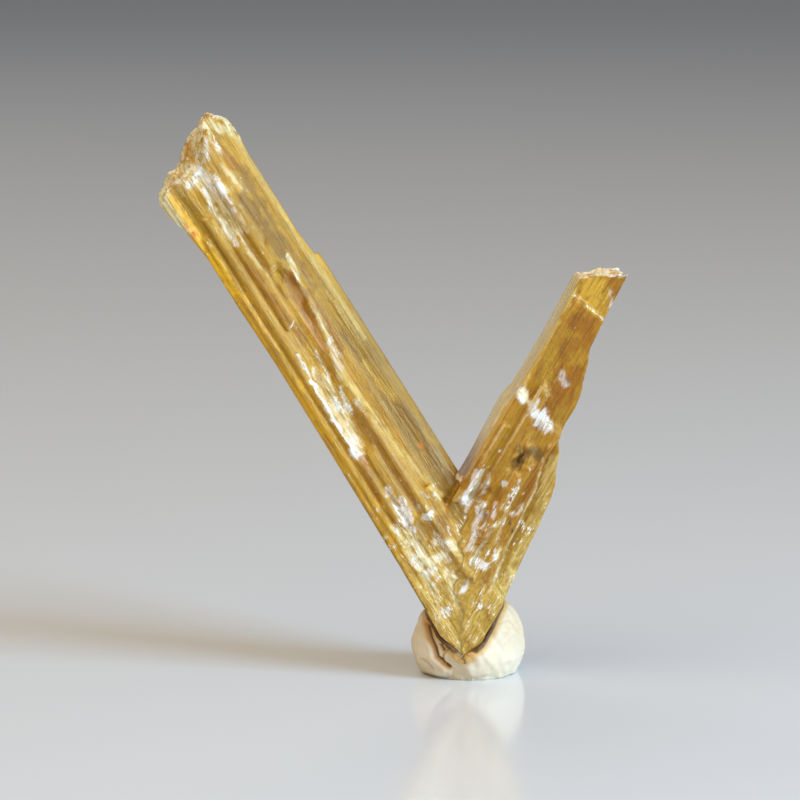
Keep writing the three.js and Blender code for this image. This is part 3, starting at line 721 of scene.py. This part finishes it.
def make_putty(crystal):
    piece = copy_of_node("putty_ball")
    remesh(piece, PUTTY_VOXEL)
    mesh = piece.data
    points, normals = read_points(mesh), read_normals(mesh)
    points, gap = press_on(points, normals, crystal)
    z = points[:, 2]
    in_front = smooth(0.1, -0.4, normals[:, 1]) * smooth(0.1, 0.5, z)
    relief, crack = putty_relief(points, in_front)
    free = smooth(0.05, 0.5, gap) * (z > 0.05)
    points = points + normals * (relief * free)[:, None]
    points[:, 2] = np.maximum(points[:, 2], 0)
    write_points(mesh, points)
    add_attribute(mesh, "gap", "FLOAT", gap)
    add_attribute(mesh, "crack", "FLOAT", crack)
    mesh.materials.append(putty_material())
    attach(piece, "root")
    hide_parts("putty_ball")


def putty_material():
    n = Nodes("putty")
    place = n.add("ShaderNodeTexCoord").outputs["Object"]
    gap = n.attribute("gap").outputs["Fac"]
    crack = n.attribute("crack").outputs["Fac"]
    clouds = n.noise(place, 350, 3, 0.6)
    grain = n.noise(place, 2600, 3, 0.6)
    colour = n.mix(n.ramp(clouds, 0.35, 0.65), PUTTY_DARK, PUTTY_PALE)
    # Painted light: light that has come through the crystal is painted on the putty round it, down to a
    # dark line of painted shade where they touch.
    colour = n.mix(n.ramp(gap, 0.95, 0.45, 0, 0.85), colour, PUTTY_GLOW)
    colour = n.mix(n.ramp(gap, 0.46, 0.36, 0, 0.9), colour, PUTTY_CONTACT_SHADE)
    # Painted shade in the cracks: tan at their edges, dark brown deep in them.
    colour = n.mix(n.ramp(crack, 0.15, 0.6, 0, 0.7), colour, CRACK_EDGE_SHADE)
    colour = n.mix(n.ramp(crack, 0.6, 0.95, 0, 0.8), colour, CRACK_DEPTH_SHADE)
    n.link(colour, n.shader.inputs["Base Color"])
    n.shader.inputs["Roughness"].default_value = 0.6
    n.shader.inputs["Subsurface Weight"].default_value = 0.2
    n.shader.inputs["Subsurface Radius"].default_value = (1.0, 0.7, 0.45)
    n.shader.inputs["Subsurface Scale"].default_value = 0.0008
    # Fine ridges, as a finger leaves them.
    ridges = n.add("ShaderNodeTexWave", bands_direction="DIAGONAL")
    n.link(place, ridges.inputs["Vector"])
    ridges.inputs["Scale"].default_value = 420
    ridges.inputs["Distortion"].default_value = 7
    ridges.inputs["Detail"].default_value = 2
    ridges.inputs["Detail Scale"].default_value = 0.6
    n.bump(n.math("ADD", ridges.outputs["Fac"], n.math("MULTIPLY", grain, 0.8)), 0.5, 0.1)
    return n.material


# The stage

FLOOR_SIZE = 8  # metres
FLOOR_NEAR = srgb(218, 226, 236)
FLOOR_FAR_SHADE = srgb(115, 127, 144)
HORIZON = (0.24, 0.285, 0.355, 1)
OVERHEAD = (0.72, 0.54, 0.33, 1)


def make_floor():
    """A pale glossy floor whose colour turns darker and cooler with distance: painted shade for the
    light falling off far away.
    """
    bpy.ops.mesh.primitive_plane_add(size=FLOOR_SIZE, location=(0, 0, 0))
    floor = bpy.context.object
    floor.name = "floor"
    n = Nodes("floor")
    place = n.add("ShaderNodeTexCoord")
    split = n.add("ShaderNodeSeparateXYZ")
    n.link(place.outputs["Object"], split.inputs[0])
    colour = n.mix(n.ramp(split.outputs["Y"], -0.05, 1.0), FLOOR_NEAR, FLOOR_FAR_SHADE)
    n.link(colour, n.shader.inputs["Base Color"])
    n.shader.inputs["Roughness"].default_value = 0.14
    n.shader.inputs["Specular IOR Level"].default_value = 0.35
    floor.data.materials.append(n.material)


def area_light(name, place, aim, size, power, colour):
    """A rectangular light: place, aim and size in metres, power in watts."""
    data = bpy.data.lights.new(name, "AREA")
    data.shape = "RECTANGLE"
    data.size, data.size_y = size
    data.energy = power
    data.color = colour
    light = bpy.data.objects.new(name, data)
    light.location = place
    light.rotation_euler = (Vector(aim) - Vector(place)).to_track_quat("-Z", "Y").to_euler()
    bpy.context.scene.collection.objects.link(light)


def make_room():
    """The light from all round: dim and cool at the horizon, brighter and warm overhead."""
    world = bpy.data.worlds.new("room")
    world.use_nodes = True
    background = world.node_tree.nodes["Background"]
    background.inputs["Strength"].default_value = 0.62
    nodes, links = world.node_tree.nodes, world.node_tree.links
    place = nodes.new("ShaderNodeTexCoord")
    split = nodes.new("ShaderNodeSeparateXYZ")
    links.new(place.outputs["Generated"], split.inputs[0])
    height = nodes.new("ShaderNodeValToRGB")
    links.new(split.outputs["Z"], height.inputs[0])
    height.color_ramp.elements[0].color = HORIZON
    height.color_ramp.elements[1].position = 0.5
    height.color_ramp.elements[1].color = OVERHEAD
    links.new(height.outputs[0], background.inputs["Color"])
    bpy.context.scene.world = world


def make_lights():
    middle = (0, 0, 0.02)
    area_light("key", (0.46, -0.28, 0.22), middle, (0.24, 0.2), 4.7, (0.54, 0.75, 1))
    area_light("left", (-0.22, -0.36, 0.6), middle, (0.9, 0.7), 3.1, (1, 0.87, 0.68))
    area_light("behind", (-0.2, 0.6, 0.45), middle, (0.5, 0.3), 1.2, (1, 0.95, 0.87))
    bpy.context.scene.view_settings.view_transform = "Standard"


def make_camera():
    look = Vector((0, math.cos(ELEVATION), -math.sin(ELEVATION)))
    up = Vector((0, math.sin(ELEVATION), math.cos(ELEVATION)))
    right = Vector((1, 0, 0))
    half = FRAME_PX / 2
    distance = half * MM_PER_PX * MM / math.tan(FIELD_OF_VIEW / 2)
    aim = (right * (half - ORIGIN_PX[0]) + up * (ORIGIN_PX[1] - half)) * MM_PER_PX * MM
    data = bpy.data.cameras.new("camera")
    data.angle = FIELD_OF_VIEW
    data.clip_start = 0.01
    camera = bpy.data.objects.new("camera", data)
    turned = Matrix((right, up, -look)).transposed().to_4x4()
    camera.matrix_world = Matrix.Translation(aim - look * distance) @ turned
    bpy.context.scene.collection.objects.link(camera)
    bpy.context.scene.camera = camera


make_camera()
make_room()
make_lights()
make_floor()
crystal = make_crystal()
make_putty(crystal)

bpy.context.view_layer.update()
